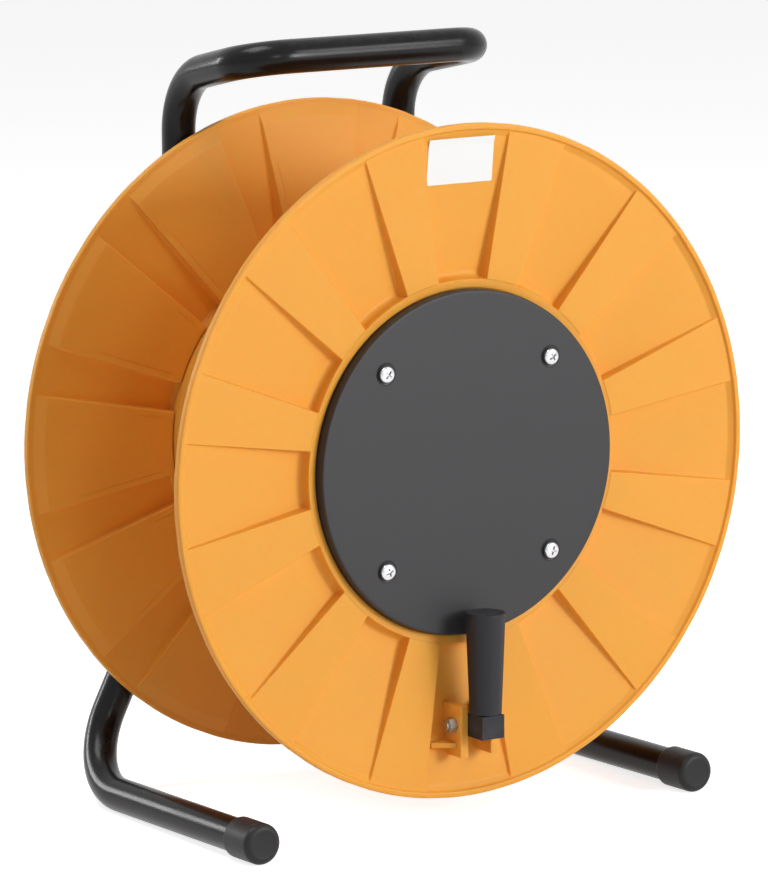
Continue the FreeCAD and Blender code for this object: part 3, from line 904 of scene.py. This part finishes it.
@dataclass
class StandTube:
    """The bent tube: two feet, two leaning legs, two uprights and the carrying bar."""

    radius: float = 0.00972
    wall: float = 0.0015
    around: int = 56
    feet: tuple[float, float, float] = (0.1475, -0.0962, 0.011917)
    heel: tuple[float, float, float] = (0.1475, 0.0997, 0.009104)
    knee: tuple[float, float, float] = (0.0755, 0.0997, 0.1500)
    shoulder: tuple[float, float, float] = (0.0755, 0.0997, 0.4110)
    handle: tuple[float, float, float] = (0.0800, 0.0132, 0.4288)
    bends: tuple[float, ...] = (0.0450, 0.0600, 0.0385, 0.0240)

    def corners(self) -> list[tuple[Vector, float]]:
        """Corners of the centreline with their bend radii, from the left foot to the right."""
        half = [self.feet, self.heel, self.knee, self.shoulder, self.handle]
        radii = (0.0,) + self.bends
        left = [(Vector((-x, y, z)), r) for (x, y, z), r in zip(half, radii)]
        right = [(Vector(p), r) for p, r in zip(half, radii)]
        return left + right[::-1]

    def centreline(self) -> list[Vector]:
        """Points along the bent centreline."""
        corners = self.corners()
        line = [corners[0][0]]
        for i in range(1, len(corners) - 1):
            (before, _), (corner, radius), (after, _) = corners[i - 1:i + 2]
            into, away = (corner - before).normalized(), (after - corner).normalized()
            turn = into.angle(away)
            reach = radius * math.tan(turn / 2)
            start = corner - into * reach
            centre = start + (away - into * into.dot(away)).normalized() * radius
            spin_axis = into.cross(away).normalized()
            steps = max(6, int(turn * radius / 0.0025))
            for j in range(steps + 1):
                arm = Matrix.Rotation(turn * j / steps, 3, spin_axis) @ (start - centre)
                line.append(centre + arm)
        line.append(corners[-1][0])
        dense = [line[0]]
        for a, b in zip(line, line[1:]):
            parts = max(1, int((b - a).length / 0.012))
            dense += [a.lerp(b, (j + 1) / parts) for j in range(parts)]
        return dense

    def build(self) -> bpy.types.Object:
        """Sweep the tube, open at its ends with a real wall."""
        line = self.centreline()
        tangents = [(line[min(i + 1, len(line) - 1)] - line[max(i - 1, 0)]).normalized()
                    for i in range(len(line))]
        side = tangents[0].orthogonal().normalized()
        outer, inner = [], []
        for i, (point, along) in enumerate(zip(line, tangents)):
            if i:
                side = tangents[i - 1].rotation_difference(along) @ side
            side = (side - along * side.dot(along)).normalized()
            across = along.cross(side)
            for rings, radius in ((outer, self.radius), (inner, self.radius - self.wall)):
                rings.append([point + (side * math.cos(a) + across * math.sin(a)) * radius
                              for a in (2 * math.pi * j / self.around for j in range(self.around))])
        loop = [inner[2], inner[1], inner[0]] + outer + [inner[-1], inner[-2], inner[-3]]
        verts = [p for ring in loop for p in ring]
        return mesh_piece("stand_bend", verts, bands(len(loop), self.around, capped=True))

    def make(self) -> None:
        """Build and dress the tube."""
        dress(self.build(), BLACK_COAT, "frame", ["stand_tube"])


@dataclass
class FootCap:
    """A push-on cap with a rounded nose and a flat disc on its end."""

    side: Side
    radius: float = 0.0116
    length: float = 0.0245
    nose: float = 0.0036
    fall: float = 0.0143634

    def make(self) -> None:
        """Build and dress the cap."""
        node = f"foot_cap_{self.side.name.lower()}"
        lo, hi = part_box(node)
        along = Vector((0, 1, -self.fall)).normalized()
        base = Vector(((lo.x + hi.x) / 2, lo.y, lo.z + self.radius + self.fall * (hi.y - lo.y)))
        r = self.radius
        nose = arc((r - self.nose, self.nose), self.nose, -90, 0, 9)
        inner = r - 0.00185
        outline = [(0.0004, 0.00025), (r - self.nose - 0.0012, 0.00025),
                   (r - self.nose - 0.0006, 0.0)] + nose
        outline += [(r, self.length * 0.5), (r, self.length - 0.0010),
                    (r - 0.0002, self.length - 0.0004), (r - 0.0006, self.length),
                    (inner + 0.0002, self.length), (inner, self.length - 0.0003),
                    (inner, 0.0026), (0.0004, 0.0026)]
        piece = turned(f"cap_{self.side.name.lower()}", outline, base, along, around=80)
        dress(piece, CAP_BLACK, "frame", [node])


@dataclass
class WeldSeams:
    """Beads that join the bearing plate to both uprights."""

    bead: float = 0.0019
    pitch: float = 0.0022
    inset: float = 0.0080
    spread: float = 0.0052

    def bead_points(self, x: float, side: int) -> list[Vector]:
        """Centreline of one bead, up one side of an upright."""
        lo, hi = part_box("bearing_plate")
        y = hi.y + 0.0006
        count = 60
        low, high = lo.z + self.inset, hi.z - self.inset
        return [Vector((x + side * self.spread, y, low + (high - low) * i / count))
                for i in range(count + 1)]

    def make(self) -> None:
        """Build and dress the beads."""
        verts, faces = [], []
        around = 14
        for x in (-0.0755, 0.0755):
            for side in (-1, 1):
                start = len(verts)
                points = self.bead_points(x, side)
                for i, p in enumerate(points):
                    taper = min(1.0, 0.35 + 0.2 * min(i, len(points) - 1 - i))
                    ripple = 1 + 0.13 * math.cos(2 * math.pi * p.z / self.pitch)
                    r = self.bead * taper * ripple
                    for j in range(around):
                        a = 2 * math.pi * j / around
                        verts.append(p + Vector((r * math.cos(a), 0.75 * r * math.sin(a), 0)))
                faces += [[start + k for k in f]
                          for f in bands(len(points), around, capped=True)]
        piece = mesh_piece("weld_seams", verts, faces)
        dress(piece, BLACK_COAT, "frame")


@dataclass
class Stand:
    """The whole stand with its axle and bearing plate."""

    plate_edge: float = 0.0005
    axle_edge: float = 0.0004

    def make(self) -> None:
        """Build and dress everything that stays still."""
        StandTube().make()
        for side in Side:
            FootCap(side).make()
        dress_node("bearing_plate", BLACK_COAT, self.plate_edge)
        dress_node("axle", STEEL, self.axle_edge)
        dress_node("axle_clip", STEEL, 0.0002)
        WeldSeams().make()


@dataclass
class Drum:
    """Everything that turns about the axle."""

    screw_turns: tuple[float, ...] = (18.0, 52.0, 75.0, 33.0)

    def make(self) -> None:
        """Build and dress the drum."""
        FlangeMoulding(Facing.FRONT, "flange_front").make()
        FlangeMoulding(Facing.REAR, "flange_rear").make()
        CrankBracket().make()
        Barrel().make()
        HubCover().make()
        for number, turn in enumerate(self.screw_turns, start=1):
            CoverScrew(number, turn).make()
        dress_node("label", FILM)


# --- studio ----------------------------------------------------------------------------------


@dataclass(frozen=True)
class SoftBox:
    """A square area lamp that looks at the reel's middle."""

    name: str
    place: tuple[float, float, float]
    size: float
    power: float
    height: float = 0.0
    colour: Colour = (1.0, 1.0, 1.0)

    def make(self, target: Vector) -> None:
        """Hang the lamp."""
        lamp = bpy.data.lights.new(self.name, "AREA")
        lamp.shape = "RECTANGLE"
        lamp.size = self.size
        lamp.size_y = self.height or self.size
        lamp.energy = self.power
        lamp.color = self.colour
        box = bpy.data.objects.new(self.name, lamp)
        box.location = self.place
        box.rotation_mode = "QUATERNION"
        box.rotation_quaternion = (Vector(self.place) - target).to_track_quat("Z", "Y")
        bpy.context.scene.collection.objects.link(box)


@dataclass
class Studio:
    """Floor, soft lamps, surroundings and camera."""

    floor_half: float = 30.0
    floor_colour: Colour = (0.80, 0.80, 0.80)
    floor_glow: float = 0.78
    ambient: float = 0.15
    camera_place: tuple[float, float, float] = (-1.65079, -2.48641, 0.72397)
    yaw: float = 0.5855425
    pitch: float = 0.1726605
    roll: float = -0.0061575
    lens: float = 214.13
    boxes: tuple[SoftBox, ...] = (
        SoftBox("key_box", (1.10, -2.45, 0.80), 0.8, 37.0),
        SoftBox("top_box", (-0.8, 0.1, 2.4), 1.1, 27.0),
        SoftBox("rim_box", (-1.35, 2.25, 0.85), 0.35, 14.0, 0.8),
        SoftBox("side_box", (1.40, -1.75, 1.50), 0.45, 9.0, 0.6),
        SoftBox("left_box", (-0.75, -2.70, 1.10), 0.5, 6.0),
    )

    @staticmethod
    def unseen_share(sheet: Sheet) -> bpy.types.NodeSocket:
        """One for camera, glossy and transmission rays, and nought for the light on the object."""
        ray = sheet.node("ShaderNodeLightPath")
        seen = sheet.maths("ADD", ray.outputs["Is Camera Ray"], ray.outputs["Is Glossy Ray"])
        return sheet.maths("ADD", seen, ray.outputs["Is Transmission Ray"], clamp=True)

    def floor(self) -> None:
        """A pale floor that shows white and keeps the reel's shadow."""
        h = self.floor_half
        ground = mesh_piece("studio_floor", [Vector(p) for p in
                                             ((-h, -h, 0), (h, -h, 0), (h, h, 0), (-h, h, 0))],
                            [[0, 1, 2, 3]], outward=False)
        made = bpy.data.materials.new("studio_floor")
        made.use_nodes = True
        made.node_tree.nodes.clear()
        sheet = Sheet(made.node_tree)
        matt = sheet.node("ShaderNodeBsdfDiffuse", {"Color": (*self.floor_colour, 1.0)})
        glow = sheet.node("ShaderNodeEmission", {
            "Color": (1.0, 1.0, 1.0, 1.0),
            "Strength": sheet.maths("MULTIPLY", self.unseen_share(sheet), self.floor_glow)})
        both = sheet.node("ShaderNodeAddShader", {0: matt.outputs[0], 1: glow.outputs[0]})
        sheet.node("ShaderNodeOutputMaterial", {"Surface": both.outputs[0]})
        ground.data.materials.append(made)

    def surroundings(self) -> None:
        """White around the reel, and a plain soft light on it."""
        world = bpy.data.worlds.new("studio")
        bpy.context.scene.world = world
        world.use_nodes = True
        world.node_tree.nodes.clear()
        sheet = Sheet(world.node_tree)
        light = sheet.node("ShaderNodeBackground", {"Color": (1.0, 1.0, 1.0, 1.0),
                                                    "Strength": self.ambient})
        white = sheet.node("ShaderNodeBackground", {"Color": (1.0, 1.0, 1.0, 1.0), "Strength": 1.0})
        mix = sheet.node("ShaderNodeMixShader", {0: self.unseen_share(sheet), 1: light.outputs[0],
                                                 2: white.outputs[0]})
        sheet.node("ShaderNodeOutputWorld", {"Surface": mix.outputs[0]})

    def camera(self) -> None:
        """The camera at the front left, a little above the reel."""
        sy, cy = math.sin(self.yaw), math.cos(self.yaw)
        sp, cp = math.sin(self.pitch), math.cos(self.pitch)
        ahead = Vector((sy * cp, cy * cp, -sp))
        right = Vector((cy, -sy, 0.0))
        up = right.cross(ahead)
        c, s = math.cos(self.roll), math.sin(self.roll)
        x_axis, y_axis = right * c + up * s, up * c - right * s
        turn = Matrix((x_axis, y_axis, -ahead)).transposed().to_4x4()
        data = bpy.data.cameras.new("studio_camera")
        data.lens = self.lens
        data.sensor_width = 36.0
        data.sensor_fit = "AUTO"
        data.clip_start, data.clip_end = 0.1, 100.0
        camera = bpy.data.objects.new("studio_camera", data)
        bpy.context.scene.collection.objects.link(camera)
        camera.matrix_world = Matrix.Translation(Vector(self.camera_place)) @ turn
        bpy.context.scene.camera = camera

    def make(self) -> None:
        """Set up the studio."""
        self.camera()
        self.floor()
        self.surroundings()
        lo, hi = cad_box
        for box in self.boxes:
            box.make((lo + hi) / 2)
        bpy.context.scene.view_settings.view_transform = "Standard"


def main() -> None:
    """Build the studio and every sub-assembly."""
    logging.basicConfig(level=logging.INFO, format="%(name)s: %(message)s")
    Studio().make()
    Stand().make()
    Drum().make()
    Crank().make()
    bpy.context.view_layer.update()


if __name__ == "__main__":
    main()
